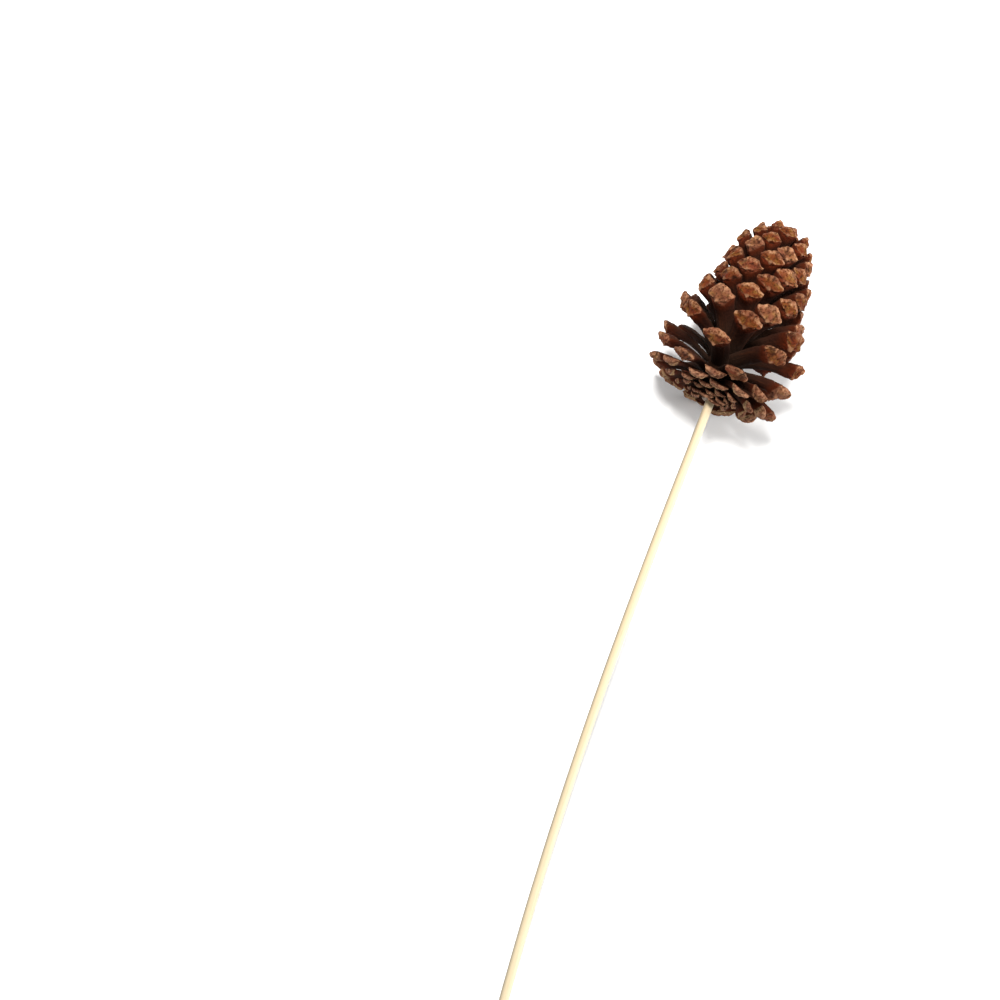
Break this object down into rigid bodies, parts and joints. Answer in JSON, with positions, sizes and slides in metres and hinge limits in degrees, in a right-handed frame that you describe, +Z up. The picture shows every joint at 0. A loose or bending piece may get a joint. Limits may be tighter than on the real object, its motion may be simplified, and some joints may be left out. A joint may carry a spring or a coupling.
{
  "type": "pine cone pick",
  "caption": "Dry, open pine cone glued on a slim, gently bowed wooden stick, a natural decoration to push into a wreath, a bouquet or a pot of soil.",
  "frame": {"origin": "on the table, under the middle of the pick's box as it lies", "axes": "+Y along the pick, from the cut end of the stick to the tip of the cone; +Z up from the table; +X to the right when looking along +Y"},
  "size_m": [0.0744, 0.3978, 0.0727],
  "materials": {
    "cone_wood": "dry matte brown scales, warm red-brown shields at their ends and dark, nearly black bodies",
    "stick_wood": "peeled pale wood, smooth and dull, with fine lengthwise grain",
    "dried_glue": "dried amber glue, slightly glossy"
  },
  "bodies": {
    "root": {"pine_cone": "cone_wood", "stick": "stick_wood", "glue": "dried_glue"}
  },
  "joints": []
}
